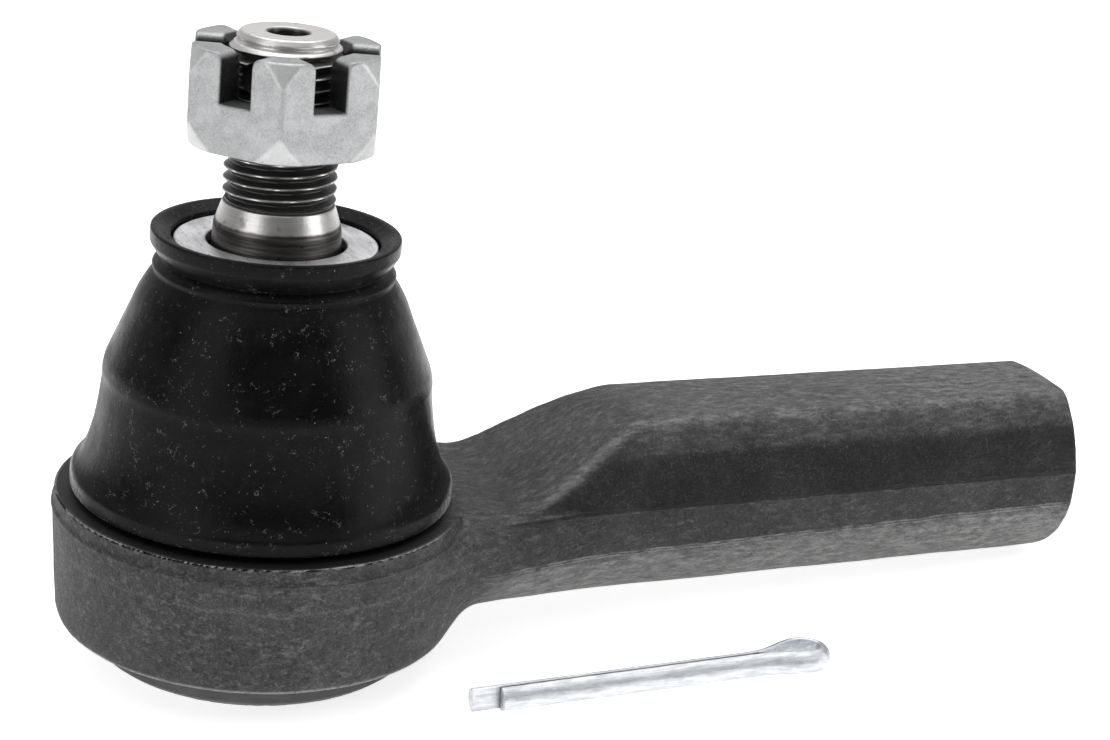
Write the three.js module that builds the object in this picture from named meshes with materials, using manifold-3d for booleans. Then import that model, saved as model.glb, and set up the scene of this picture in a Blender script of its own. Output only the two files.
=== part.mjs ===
// Tie rod end: a forged housing with an integral internally threaded shank, a ball stud in
// two seats, a rubber dust boot, a slotted nut and its cotter pin.
// Millimetres. +Z is the stud axis, +X runs along the shank, and the origin is the centre of
// the flat on the cover plate, level with the rolled lip that the housing stands on.
import * as THREE from "three";
import { mergeVertices } from "three/addons/utils/BufferGeometryUtils.js";
import Module from "manifold-3d";

const wasm = await Module();
wasm.setup();

// ---- driving dimensions -------------------------------------------------------------------
const GAP = 0.3; // between pieces that touch on the real object
const HOUSING_ROUND = 56; // facets round the housing
const ROUND = 40; // facets round the seats, boot and plates
const STUD_ROUND = 32;

const HOUSING_R = 22.3; // widest, at the parting line
const HOUSING_FOOT_R = 21.6; // draft leaves the foot narrower
const FOOT_Z = 3.5;
const PARTING_Z = 16.4;
const TOP_FACE_Z = 18.0;
const BOSS_R = 17.8; // turned boss whose edge is rolled over the cover plate
const BORE_R = 14.0;
const COLLAR_R = 16.2; // turned collar that carries the boot
const COLLAR_SHOULDER_Z = 22.0;
const COLLAR_TOP_Z = 28.0;
const COLLAR_TIP_R = 12.5;
const THROAT_R = 10.3;
const MOUTH_R = 11.4; // clears the tapered neck at full tilt

const SHANK_END_X = 101.0;
const SHANK_AXIS_Z = 14.6;
const SHANK_HALF_WIDTH = 11.1;
const SHANK_UNDERSIDE_Z = 3.6;
const SHANK_TOP_Z = 25.3;
const SHANK_SQUARENESS = 2.25; // exponent of the section's rounded-square outline
const RAMP_START_X = 22.0;
const RAMP_END_X = 43.0;
const ROD_BORE_R = 6.6; // between the minor and major radius of an M14 thread
const ROD_BORE_DEPTH = 46.0;
const END_CHAMFER = 0.8;

const BALL_Z = 17.0;
const BALL_R = 12.0;
const SEAT_INNER_R = 12.25;
const SEAT_OUTER_R = 13.7;
const SEAT_SPLIT_Z = 14.0;
const SEAT_FLOOR_Z = 4.6;

const NECK_R = 5.8;
const TAPER_LARGE_R = 7.6;
const TAPER_SMALL_R = 6.65;
const TAPER_LARGE_Z = 33.5;
const TAPER_SMALL_Z = 47.6;
const THREAD_START_Z = 50.2;
const THREAD_R = 5.9; // M12, between crest and root
const STUD_TOP_Z = 67.9;
const COTTER_HOLE_R = 1.75;

const BOOT_FLANGE_R = 20.5;
const BOOT_FLANGE_Z = 18.6;
const BOOT_WALL = 2.0;
const WASHER_R = 10.7;
const WASHER_HOLE_R = 7.35;
const WASHER_Z = 44.6;
const WASHER_THICK = 1.2;

const NUT_FLATS = 19.0;
const NUT_BASE_Z = 56.3;
const NUT_HEIGHT = 10.4;
const NUT_SLOT_FLOOR = 5.2; // above the nut's base
const NUT_SLOT_WIDTH = 3.5;
const NUT_TURN = THREE.MathUtils.degToRad(-19.9); // direction that one slot faces
const COTTER_HOLE_TURN = NUT_TURN + Math.PI / 3; // the stud's hole lines up with the next slot

const PIN_DIAMETER = 2.9;
const PIN_LONG_LEG = 36.0;
const PIN_SHORT_LEG = 32.9;
const PIN_EYE_LENGTH = 6.4;
const PIN_EYE_WIDTH = 5.8;
const PIN_EYE_OFFSET = 0.6; // the eye bulges more on the long leg's side
const PIN_TIP = new THREE.Vector3(17.0, -23.0, 0.12); // lies loose beside the housing
const PIN_HEADING = THREE.MathUtils.degToRad(-2.7);
const REST_SLOPE = THREE.MathUtils.degToRad(-2.4); // of the surface that the whole part rests on

// ---- helpers ------------------------------------------------------------------------------
const QUARTER_TURN = Math.PI / 2;

/** A three.js geometry as a manifold solid that can be joined and cut. */
function solid(geometry) {
  const plain = geometry.index ? geometry : geometry.clone();
  plain.deleteAttribute("normal");
  plain.deleteAttribute("uv");
  const merged = mergeVertices(plain, 1e-4);
  return new wasm.Manifold(
    new wasm.Mesh({
      numProp: 3,
      vertProperties: merged.attributes.position.array,
      triVerts: new Uint32Array(merged.index.array),
    }),
  );
}

/** A manifold solid as a three.js geometry. */
function geometryOf(made) {
  const mesh = made.getMesh();
  const geometry = new THREE.BufferGeometry();
  geometry.setAttribute("position", new THREE.BufferAttribute(mesh.vertProperties, 3));
  geometry.setIndex(new THREE.BufferAttribute(mesh.triVerts, 1));
  return geometry;
}

/** A solid of revolution about Z from an anticlockwise [radius, height] outline. */
function turned(outline, facets = ROUND) {
  const points = outline.map(([r, z]) => new THREE.Vector2(r, z));
  const closes = points[0].x > 0 || points.at(-1).x > 0;
  if (closes) {
    points.push(points[0].clone());
  }
  return new THREE.LatheGeometry(points, facets).rotateX(QUARTER_TURN);
}

/** Points on a circle in the [radius, height] plane, from one height to another. */
function sphereArc(radius, centreZ, fromZ, toZ, steps) {
  const start = Math.asin((fromZ - centreZ) / radius);
  const end = Math.asin((toZ - centreZ) / radius);
  return Array.from({ length: steps + 1 }, (_, i) => {
    const angle = start + ((end - start) * i) / steps;
    return [radius * Math.cos(angle), centreZ + radius * Math.sin(angle)];
  });
}

/** A cylinder whose axis points along a direction, centred on a point. */
function rod(radius, length, centre, direction, facets = 24) {
  const turn = new THREE.Quaternion().setFromUnitVectors(
    new THREE.Vector3(0, 1, 0),
    direction.clone().normalize(),
  );
  return new THREE.CylinderGeometry(radius, radius, length, facets)
    .applyQuaternion(turn)
    .translate(centre.x, centre.y, centre.z);
}

/** A 2-D outline given as [a, b] pairs, extruded by depth along the shape's own normal. */
function slab(outline, depth) {
  const shape = new THREE.Shape(outline.map(([a, b]) => new THREE.Vector2(a, b)));
  return new THREE.ExtrudeGeometry(shape, { depth, bevelEnabled: false });
}

function smoothStep(t) {
  const s = THREE.MathUtils.clamp(t, 0, 1);
  return s * s * (3 - 2 * s);
}

// ---- housing ------------------------------------------------------------------------------
/** The turned body round the ball: boss, drafted forged wall, collar and stepped bore. */
function housingBody() {
  const lip = [
    [13.2, 0],
    [16.9, 0],
    [BOSS_R, 0.9],
    [BOSS_R, FOOT_Z],
  ];
  const wall = [
    [HOUSING_FOOT_R - 1.2, FOOT_Z],
    [HOUSING_FOOT_R - 0.35, FOOT_Z + 0.35],
    [HOUSING_FOOT_R, FOOT_Z + 1.2],
    [HOUSING_R, PARTING_Z - 0.2],
    [HOUSING_R - 0.2, PARTING_Z],
    [HOUSING_R - 0.3, TOP_FACE_Z - 0.4],
    [HOUSING_R - 0.7, TOP_FACE_Z],
  ];
  const collar = [
    [COLLAR_R, TOP_FACE_Z],
    [COLLAR_R, COLLAR_SHOULDER_Z],
    [COLLAR_TIP_R, COLLAR_TOP_Z],
    [MOUTH_R, COLLAR_TOP_Z],
  ];
  const throatZ = BALL_Z + Math.sqrt(BORE_R ** 2 - THROAT_R ** 2);
  const bore = [
    ...sphereArc(BORE_R, BALL_Z, throatZ, BALL_Z, 6),
    [BORE_R, 2.9],
    [14.9, 2.9],
    [14.9, 0.7],
    [13.2, 0.7],
  ];
  return solid(turned([...lip, ...wall, ...collar, ...bore], HOUSING_ROUND));
}

/** Half of the shank's section: round below, flattened on top. */
function shankSection() {
  const steps = 40;
  const depth = SHANK_AXIS_Z - SHANK_UNDERSIDE_Z;
  return Array.from({ length: steps }, (_, i) => {
    const angle = (2 * Math.PI * i) / steps;
    const power = 2 / SHANK_SQUARENESS;
    const across = Math.sign(Math.cos(angle)) * Math.abs(Math.cos(angle)) ** power;
    const up = Math.sign(Math.sin(angle)) * Math.abs(Math.sin(angle)) ** power;
    return [SHANK_HALF_WIDTH * across, Math.min(depth * up, SHANK_TOP_Z - SHANK_AXIS_Z)];
  });
}

/** The shank seen from the side: the forging's top face ramps up to the shank's top. */
function shankSide() {
  const rampSteps = 8;
  const ramp = Array.from({ length: rampSteps + 1 }, (_, i) => {
    const t = i / rampSteps;
    const x = THREE.MathUtils.lerp(RAMP_START_X, RAMP_END_X, t);
    return [x, THREE.MathUtils.lerp(TOP_FACE_Z, SHANK_TOP_Z, smoothStep(t))];
  });
  return [
    [BORE_R + 4, FOOT_Z],
    [SHANK_END_X, SHANK_UNDERSIDE_Z - 1],
    [SHANK_END_X, SHANK_TOP_Z + 1],
    [RAMP_END_X + 2, SHANK_TOP_Z + 1],
    [RAMP_END_X, SHANK_TOP_Z],
    ...ramp.reverse().slice(1),
    [BORE_R + 4, TOP_FACE_Z],
  ];
}

/** The webs that flare from the shank into the round housing. */
function neckWebs() {
  const flareStart = 17;
  const flareEnd = 36;
  const steps = 8;
  const edge = Array.from({ length: steps + 1 }, (_, i) => {
    const t = i / steps;
    const x = THREE.MathUtils.lerp(flareStart, flareEnd, t);
    return [x, THREE.MathUtils.lerp(13.6, 10.0, smoothStep(Math.sqrt(t)))];
  });
  const outline = [...edge.map(([x, y]) => [x, -y]), ...edge.reverse()];
  const low = SHANK_UNDERSIDE_Z + 3.2;
  return solid(slab(outline, TOP_FACE_Z - 0.5 - low).translate(0, 0, low));
}

function housing() {
  const section = slab(shankSection(), SHANK_END_X - BORE_R - 2)
    .rotateX(QUARTER_TURN)
    .rotateZ(QUARTER_TURN)
    .translate(BORE_R + 2, 0, SHANK_AXIS_Z);
  const side = slab(shankSide(), 4 * SHANK_HALF_WIDTH)
    .rotateX(QUARTER_TURN)
    .translate(0, 2 * SHANK_HALF_WIDTH, 0);
  const shank = solid(section).intersect(solid(side));
  const cavity = solid(
    turned([
      [0, 0.7],
      [14.9, 0.7],
      [14.9, 2.9],
      [BORE_R, 2.9],
      ...sphereArc(BORE_R, BALL_Z, BALL_Z, BALL_Z + 9.4, 6),
      [0, BALL_Z + 9.4],
    ], HOUSING_ROUND),
  );
  const boreCentre = new THREE.Vector3(SHANK_END_X + 2 - ROD_BORE_DEPTH / 2, 0, SHANK_AXIS_Z);
  const alongX = new THREE.Vector3(1, 0, 0);
  const rodBore = solid(rod(ROD_BORE_R, ROD_BORE_DEPTH + 4, boreCentre, alongX, 32));
  const mouthCone = new THREE.CylinderGeometry(
    ROD_BORE_R + END_CHAMFER + 0.2,
    ROD_BORE_R - 0.3,
    END_CHAMFER + 0.5,
    32,
  )
    .rotateZ(-QUARTER_TURN)
    .translate(SHANK_END_X - END_CHAMFER / 2 + 0.05, 0, SHANK_AXIS_Z);
  return housingBody()
    .add(shank.subtract(cavity))
    .add(neckWebs().subtract(cavity))
    .subtract(rodBore)
    .subtract(solid(mouthCone));
}

// ---- parts held in the housing ------------------------------------------------------------
/** Domed plate that closes the underside; its central flat is level with the rolled lip. */
function coverPlate() {
  return turned([
    [0, 0],
    [6.5, 0],
    [8.5, 1.0],
    [14.6, 1.0],
    [14.6, 2.6],
    [0, 2.6],
  ]);
}

/** Conical disc spring that presses the lower seat against the ball. */
function discSpring() {
  return turned([
    [6.5, 3.6],
    [13.5, 2.9],
    [13.6, 3.55],
    [6.6, 4.3],
  ]);
}

function lowerSeat() {
  const rimR = Math.sqrt(SEAT_INNER_R ** 2 - (BALL_Z - SEAT_SPLIT_Z) ** 2);
  const holeR = 5.0;
  const holeZ = BALL_Z - Math.sqrt(SEAT_INNER_R ** 2 - holeR ** 2);
  const cup = sphereArc(SEAT_INNER_R, BALL_Z, SEAT_SPLIT_Z, holeZ, 6).slice(1);
  return turned([
    [holeR, SEAT_FLOOR_Z],
    [SEAT_OUTER_R - 1.5, SEAT_FLOOR_Z],
    [SEAT_OUTER_R, SEAT_FLOOR_Z + 1.5],
    [SEAT_OUTER_R, SEAT_SPLIT_Z],
    [rimR, SEAT_SPLIT_Z],
    ...cup,
  ]);
}

function upperSeat() {
  const bottom = SEAT_SPLIT_Z + GAP;
  const top = BALL_Z + 8.9;
  const innerTop = BALL_Z + 6.9;
  return turned([
    [SEAT_OUTER_R, bottom],
    ...sphereArc(SEAT_OUTER_R, BALL_Z, BALL_Z, top, 6),
    ...sphereArc(SEAT_INNER_R, BALL_Z, innerTop, bottom, 7),
  ]);
}

// ---- ball stud ----------------------------------------------------------------------------
function ballStud() {
  const neckZ = BALL_Z + Math.sqrt(BALL_R ** 2 - NECK_R ** 2);
  const ball = sphereArc(BALL_R, BALL_Z, BALL_Z - BALL_R + 0.25, neckZ, 12);
  const shaft = solid(
    turned(
      [
        [0, BALL_Z - BALL_R + 0.25],
        ...ball,
        [NECK_R, neckZ + 1.2],
        [TAPER_LARGE_R, TAPER_LARGE_Z],
        [TAPER_SMALL_R, TAPER_SMALL_Z],
        [THREAD_R - 0.1, THREAD_START_Z],
        [THREAD_R - 0.7, THREAD_START_Z + 0.3],
        [THREAD_R - 0.7, THREAD_START_Z + 0.8],
        [THREAD_R, THREAD_START_Z + 1.2],
        [THREAD_R, STUD_TOP_Z - 1.6],
        [THREAD_R - 0.5, STUD_TOP_Z - 1.0],
        [4.5, STUD_TOP_Z],
        [2.4, STUD_TOP_Z],
        [2.1, STUD_TOP_Z - 0.4],
        [1.8, STUD_TOP_Z - 3.2],
        [0, STUD_TOP_Z - 4.2],
      ],
      STUD_ROUND,
    ),
  );
  const holeZ = NUT_BASE_Z + NUT_SLOT_FLOOR + COTTER_HOLE_R + 0.4;
  const across = new THREE.Vector3(Math.cos(COTTER_HOLE_TURN), Math.sin(COTTER_HOLE_TURN), 0);
  const cross = rod(COTTER_HOLE_R, 4 * THREAD_R, new THREE.Vector3(0, 0, holeZ), across, 16);
  return geometryOf(shaft.subtract(solid(cross)));
}

// ---- boot ---------------------------------------------------------------------------------
/** Rubber bellows-less boot: lower flange, bulged skirt, neck groove and flared upper lip. */
function dustBoot() {
  const skirt = [
    [BOOT_FLANGE_R, BOOT_FLANGE_Z],
    [BOOT_FLANGE_R, BOOT_FLANGE_Z + 1.5],
    [19.4, BOOT_FLANGE_Z + 3.2],
    [18.4, BOOT_FLANGE_Z + 5.4],
    [17.8, 28.0],
    [17.4, 30.4],
    [16.6, 34.0],
    [15.0, 38.0],
    [13.2, 42.0],
    [12.2, 43.2],
    [12.4, 44.4],
    [13.1, 45.2],
    [13.1, 46.4],
    [12.7, 46.9],
  ];
  const mouth = [
    [WASHER_R + 0.6, 46.3],
    [WASHER_R + GAP, 46.1],
    [WASHER_R + GAP, WASHER_Z - GAP],
    [8.6, WASHER_Z - GAP],
    [8.6, 43.0],
    [10.8, 42.2],
  ];
  const inside = [
    [15.0 - BOOT_WALL, 38.0],
    [16.6 - BOOT_WALL - 0.1, 34.0],
    [17.4 - BOOT_WALL, 30.4],
    [17.8 - BOOT_WALL + 0.1, 27.0],
    [COLLAR_R + GAP, COLLAR_SHOULDER_Z + 0.4],
    [COLLAR_R + GAP, BOOT_FLANGE_Z + 2.4],
    [19.2, BOOT_FLANGE_Z + 2.0],
    [19.2, BOOT_FLANGE_Z],
  ];
  return turned([...skirt, ...mouth, ...inside]);
}

/** Flat steel ring pressed over the collar, which grips the boot's flange from inside. */
function bootRetainingRing() {
  return turned([
    [COLLAR_R + GAP, BOOT_FLANGE_Z],
    [18.9, BOOT_FLANGE_Z],
    [18.9, BOOT_FLANGE_Z + 1.7],
    [COLLAR_R + GAP, BOOT_FLANGE_Z + 1.9],
  ]);
}

/** Steel washer in the boot's mouth, which bears on the steering arm. */
function bootWasher() {
  return turned([
    [WASHER_HOLE_R, WASHER_Z],
    [WASHER_R, WASHER_Z],
    [WASHER_R, WASHER_Z + WASHER_THICK],
    [WASHER_HOLE_R + 0.3, WASHER_Z + WASHER_THICK],
    [WASHER_HOLE_R, WASHER_Z + WASHER_THICK - 0.3],
  ]);
}

// ---- fasteners ----------------------------------------------------------------------------
/** Slotted hexagon nut: both ends chamfered by a cone, six slots open at the top. */
function castleNut() {
  const cornerR = NUT_FLATS / 2 / Math.cos(Math.PI / 6);
  const hexagon = new THREE.CylinderGeometry(cornerR, cornerR, NUT_HEIGHT, 6)
    .rotateX(QUARTER_TURN)
    .translate(0, 0, NUT_HEIGHT / 2);
  const rounding = turned([
    [0, 0],
    [NUT_FLATS / 2 - 0.2, 0],
    [cornerR + 0.2, 2.0],
    [cornerR + 0.2, NUT_HEIGHT - 2.9],
    [NUT_FLATS / 2 - 0.2, NUT_HEIGHT],
    [0, NUT_HEIGHT],
  ]);
  const boreR = THREAD_R + GAP;
  const bore = turned([
    [0, -1],
    [boreR + 1.0, -1],
    [boreR + 0.9, 0],
    [boreR, 0.8],
    [boreR, NUT_HEIGHT - 0.7],
    [boreR + 0.7, NUT_HEIGHT],
    [boreR + 0.7, NUT_HEIGHT + 1],
    [0, NUT_HEIGHT + 1],
  ]);
  let nut = solid(hexagon).intersect(solid(rounding)).subtract(solid(bore));
  for (const turn of [0, 1, 2]) {
    const slot = new THREE.BoxGeometry(3 * NUT_FLATS, NUT_SLOT_WIDTH, NUT_HEIGHT)
      .translate(0, 0, NUT_SLOT_FLOOR + NUT_HEIGHT / 2)
      .rotateZ((turn * Math.PI) / 3);
    nut = nut.subtract(solid(slot));
  }
  return geometryOf(nut);
}

/** Split pin: one half-round wire folded into an eye and two legs of unequal length. */
function cotterPin() {
  const halfRound = (side) => {
    const steps = 8;
    const r = PIN_DIAMETER / 2;
    return Array.from({ length: steps + 1 }, (_, i) => {
      const angle = (Math.PI * i) / steps;
      return [side * r * Math.sin(angle), r * Math.cos(angle)];
    });
  };
  const leg = (side, length) =>
    solid(
      slab(side > 0 ? halfRound(1).reverse() : halfRound(-1), length)
        .rotateX(QUARTER_TURN)
        .rotateZ(QUARTER_TURN)
        .translate(-length, side * 0.02, 0),
    );
  const eyeOuter = new THREE.CylinderGeometry(1, 1, 2.4, 28)
    .rotateX(QUARTER_TURN)
    .scale(PIN_EYE_LENGTH / 2 + 0.6, PIN_EYE_WIDTH / 2, 1)
    .translate(PIN_EYE_LENGTH / 2 - 0.6, PIN_EYE_OFFSET, 0);
  const eyeInner = new THREE.CylinderGeometry(1, 1, 6, 28)
    .rotateX(QUARTER_TURN)
    .scale(PIN_EYE_LENGTH / 2 - 0.7, PIN_EYE_WIDTH / 2 - 1.45, 1)
    .translate(PIN_EYE_LENGTH / 2 - 0.4, PIN_EYE_OFFSET, 0);
  const web = new THREE.BoxGeometry(PIN_SHORT_LEG, 0.4, PIN_DIAMETER - 0.5)
    .translate(-PIN_SHORT_LEG / 2, 0, 0);
  const pin = leg(1, PIN_LONG_LEG)
    .add(leg(-1, PIN_SHORT_LEG))
    .add(solid(web))
    .add(solid(eyeOuter))
    .subtract(solid(eyeInner));
  return geometryOf(pin);
}

// ---- assembly -----------------------------------------------------------------------------
function mesh(name, geometry, color, roughness, metalness) {
  const material = new THREE.MeshStandardMaterial({ color, roughness, metalness });
  const made = new THREE.Mesh(geometry, material);
  made.name = name;
  return made;
}

const tieRodEnd = new THREE.Group();
tieRodEnd.name = "tie_rod_end";

tieRodEnd.add(
  mesh("housing", geometryOf(housing()), 0x3b3a3b, 0.6, 0.7),
  mesh("cover_plate", coverPlate(), 0x6c6c6a, 0.5, 0.8),
  mesh("disc_spring", discSpring(), 0x55565a, 0.4, 0.9),
  mesh("lower_ball_seat", lowerSeat(), 0xd8d4c8, 0.5, 0.0),
  mesh("upper_ball_seat", upperSeat(), 0xd8d4c8, 0.5, 0.0),
  mesh("boot_retaining_ring", bootRetainingRing(), 0x8f9194, 0.4, 0.9),
  mesh("dust_boot", dustBoot(), 0x121212, 0.55, 0.0),
  mesh("boot_washer", bootWasher(), 0xa6a6a8, 0.5, 0.8),
  mesh("ball_stud", ballStud(), 0x7d7b78, 0.35, 0.9),
);

const nut = mesh("castle_nut", castleNut(), 0xc9cac8, 0.4, 0.8);
nut.position.z = NUT_BASE_Z;
nut.rotation.z = NUT_TURN;
tieRodEnd.add(nut);

const pinRest = new THREE.Group();
pinRest.position.copy(PIN_TIP);
pinRest.rotation.set(0, REST_SLOPE, PIN_HEADING, "ZYX");
const pin = mesh("cotter_pin", cotterPin(), 0xd6dade, 0.35, 0.9);
pin.position.set(PIN_LONG_LEG, 0, PIN_DIAMETER / 2);
pinRest.add(pin);
tieRodEnd.add(pinRest);

export default tieRodEnd;
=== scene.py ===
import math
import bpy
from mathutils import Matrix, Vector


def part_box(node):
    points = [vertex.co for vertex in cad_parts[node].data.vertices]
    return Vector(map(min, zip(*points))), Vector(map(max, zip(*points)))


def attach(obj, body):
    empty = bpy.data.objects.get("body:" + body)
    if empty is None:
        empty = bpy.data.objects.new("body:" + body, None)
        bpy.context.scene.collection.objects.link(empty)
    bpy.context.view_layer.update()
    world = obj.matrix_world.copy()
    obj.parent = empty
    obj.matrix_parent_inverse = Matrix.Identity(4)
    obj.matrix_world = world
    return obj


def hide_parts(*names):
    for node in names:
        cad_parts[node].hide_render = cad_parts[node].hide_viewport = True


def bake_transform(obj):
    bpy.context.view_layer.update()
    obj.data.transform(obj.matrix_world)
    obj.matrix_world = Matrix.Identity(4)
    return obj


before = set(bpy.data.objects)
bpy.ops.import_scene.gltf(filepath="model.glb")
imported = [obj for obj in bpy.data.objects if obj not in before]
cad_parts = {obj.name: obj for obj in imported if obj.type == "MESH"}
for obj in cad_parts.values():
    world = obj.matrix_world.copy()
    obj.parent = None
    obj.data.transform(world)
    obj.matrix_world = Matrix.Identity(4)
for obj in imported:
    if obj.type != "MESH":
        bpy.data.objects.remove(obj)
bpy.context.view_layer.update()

# Tie rod end: looks of the forged housing, rubber boot, ball stud, slotted nut and split pin.
# Lengths below are millimetres in the frame of the part: +Z is the stud axis, +X the shank.
from types import SimpleNamespace

import bmesh
import bpy
import numpy as np
from mathutils import Matrix, Vector

MM = 0.001


def extent(node):
    """Lowest and highest corner of a CAD node, in millimetres."""
    low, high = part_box(node)
    return np.array(low) / MM, np.array(high) / MM


# ---- dimensions ----
HOUSING_LOW, HOUSING_HIGH = extent("housing")
BOOT_LOW, BOOT_HIGH = extent("dust_boot")
WASHER_LOW, WASHER_HIGH = extent("boot_washer")
NUT_LOW, NUT_HIGH = extent("castle_nut")
STUD_HIGH = extent("ball_stud")[1]
PIN_LOW = extent("cotter_pin")[0]

SHANK_END_X = HOUSING_HIGH[0]
BASE_Z = HOUSING_LOW[2]
COLLAR_TOP_Z = HOUSING_HIGH[2]
FOOT_Z = BASE_Z + 3.5
PARTING_Z = 16.4
TOP_FACE_Z = 18.0
FACING_R = 22.7  # reach of the tool that faced the top
CREASE_Z = 10.45  # height of the lower crease at the stud, rising along the shank
CREASE_RISE = 0.018
GIRDLE_Z = 13.4  # faint line round the body
NECK_X = (19.0, 27.0)  # from the body's skin to the shank's
COLLAR_R = 16.2
MOUTH_R = 11.4
BALL_Z = 17.0
BALL_R = 12.0
BORE_R = 14.0
ROD_AXIS_Z = 14.6
ROD_BORE_START_X = 57.0
ROD_BORE_R = 6.25
ROD_PITCH = 1.5
RAMP_X = (25.0, 44.0)
RAMP_Z = (TOP_FACE_Z, 25.3)
DIP_X = 26.5  # hollow at the foot of the ramp
DIP_DEPTH = 0.8
DIP_REACH = 3.6
NECK_FILLET_Z = (14.5, 18.0)  # the fillets at the neck fade out over this height
NECK_FILLET = (3.2, 0.3)
FLASH_HEIGHT = 0.1
FLASH_WIDTH = 0.3
FLANGE_SHEEN_R = (20.1, 20.35)  # outer edge of the boot's flange

STUD_TOP_Z = STUD_HIGH[2]
THREAD_Z = (50.2, STUD_TOP_Z)
THREAD_R = 5.95
THREAD_DEPTH = 0.68
THREAD_PITCH = 1.25
CONE_START_Z = 48.1  # top of the oiled band below the bright cone

NUT_BASE_Z = NUT_LOW[2]
NUT_HEIGHT = NUT_HIGH[2] - NUT_LOW[2]
NUT_FLATS = 19.0
NUT_TURN = math.radians(-19.9)
SLOT_FLOOR = 5.2
SLOT_WIDTH = 3.5
COTTER_HOLE_R = 1.75
COTTER_HOLE_TURN = NUT_TURN + math.pi / 3

PIN_R = 1.38
PIN_GAP = 0.14  # between the two legs
PIN_EDGE = 0.16  # angle of the round side lost to the wire's rounded edge
PIN_LONG_LEG = 36.0
PIN_SHORT_LEG = 32.9
PIN_EYE_START = -2.4  # along the pin, where the legs part
PIN_TIP = (PIN_LOW[0], -23.0, PIN_LOW[2])
PIN_HEADING = math.radians(-2.7)
REST_SLOPE = math.radians(-2.45)  # the part leans onto the end of its shank

NET_STEP = 0.4
FINE_STEP = 0.2
TURNS = 192


# ---- meshes ----
def add_mesh(name, points, faces, look, normals=None):
    """A smooth mesh from points in millimetres."""
    mesh = bpy.data.meshes.new(name)
    mesh.from_pydata((np.asarray(points, float) * MM).tolist(), [], faces)
    mesh.update()
    mesh.shade_smooth()
    if normals is None:
        mesh.set_sharp_from_angle(angle=math.radians(32))
    else:
        mesh.normals_split_custom_set_from_vertices(normals.tolist())
    mesh.materials.append(look)
    made = bpy.data.objects.new(name, mesh)
    bpy.context.scene.collection.objects.link(made)
    return made


def eased(outline, steps=5):
    """An outline of (u, v, ease) corners with each corner rounded over its ease length."""
    corners = np.array(outline, float)
    made = []
    for i, (u, v, ease) in enumerate(corners):
        before, after = corners[i - 1, :2], corners[(i + 1) % len(corners), :2]
        here = np.array([u, v])
        back, on = before - here, after - here
        reach_back = min(ease, np.linalg.norm(back) / 2)
        reach_on = min(ease, np.linalg.norm(on) / 2)
        if ease <= 0:
            made.append(here)
            continue
        start = here + back / np.linalg.norm(back) * reach_back
        end = here + on / np.linalg.norm(on) * reach_on
        for t in np.linspace(0, 1, steps):
            made.append((1 - t) ** 2 * start + 2 * t * (1 - t) * here + t * t * end)
    return np.array(made)


def turned(name, outline, look, shape=None, steps=5, longest=None):
    """A lathed mesh from a closed anticlockwise (radius, height, ease) outline."""
    loop = eased(outline, steps)
    if longest:
        loop = divided(loop, longest)
    angles = np.linspace(0, 2 * math.pi, TURNS, endpoint=False)
    radius = np.repeat(np.maximum(loop[:, 0], 0)[:, None], TURNS, 1)
    height = np.repeat(loop[:, 1][:, None], TURNS, 1)
    if shape:
        radius = shape(radius, height, angles[None, :])
    points = np.stack(
        [radius * np.cos(angles), radius * np.sin(angles), height], -1
    ).reshape(-1, 3)
    rows = len(loop)
    faces = []
    for i in range(rows):
        j = (i + 1) % rows
        if loop[i, 0] <= 0 and loop[j, 0] <= 0:
            continue
        for k in range(TURNS):
            m = (k + 1) % TURNS
            faces.append((i * TURNS + k, i * TURNS + m, j * TURNS + m, j * TURNS + k))
    made = add_mesh(name, points, faces, look)
    weld(made)
    return made


def divided(loop, longest):
    """The loop with its long edges split so that none is longer than the given length."""
    made = []
    for i, start in enumerate(loop):
        end = loop[(i + 1) % len(loop)]
        pieces = max(1, math.ceil(np.linalg.norm(end - start) / longest))
        made.extend(start + (end - start) * k / pieces for k in range(pieces))
    return np.array(made)


def weld(made):
    """Joins the vertices that meet and turns every face outward."""
    work = bmesh.new()
    work.from_mesh(made.data)
    bmesh.ops.remove_doubles(work, verts=work.verts, dist=1e-7)
    bmesh.ops.recalc_face_normals(work, faces=work.faces)
    work.to_mesh(made.data)
    work.free()
    made.data.set_sharp_from_angle(angle=math.radians(32))


# ---- solid fields ----
def soft_max(a, b, radius):
    """The greater of two fields, eased over a radius where they meet: cuts one by the other."""
    ease = np.maximum(radius - np.abs(a - b), 0.0) / radius
    return np.maximum(a, b) + radius * ease * ease / 4


def soft_min(a, b, radius):
    """The lesser of two fields, eased where they meet: joins them with a fillet."""
    return -soft_max(-a, -b, radius)


def smooth_step(value, start, end):
    """0 before start and 1 after end, eased between."""
    t = np.clip((value - start) / (end - start), 0, 1)
    return t * t * (3 - 2 * t)


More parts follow.
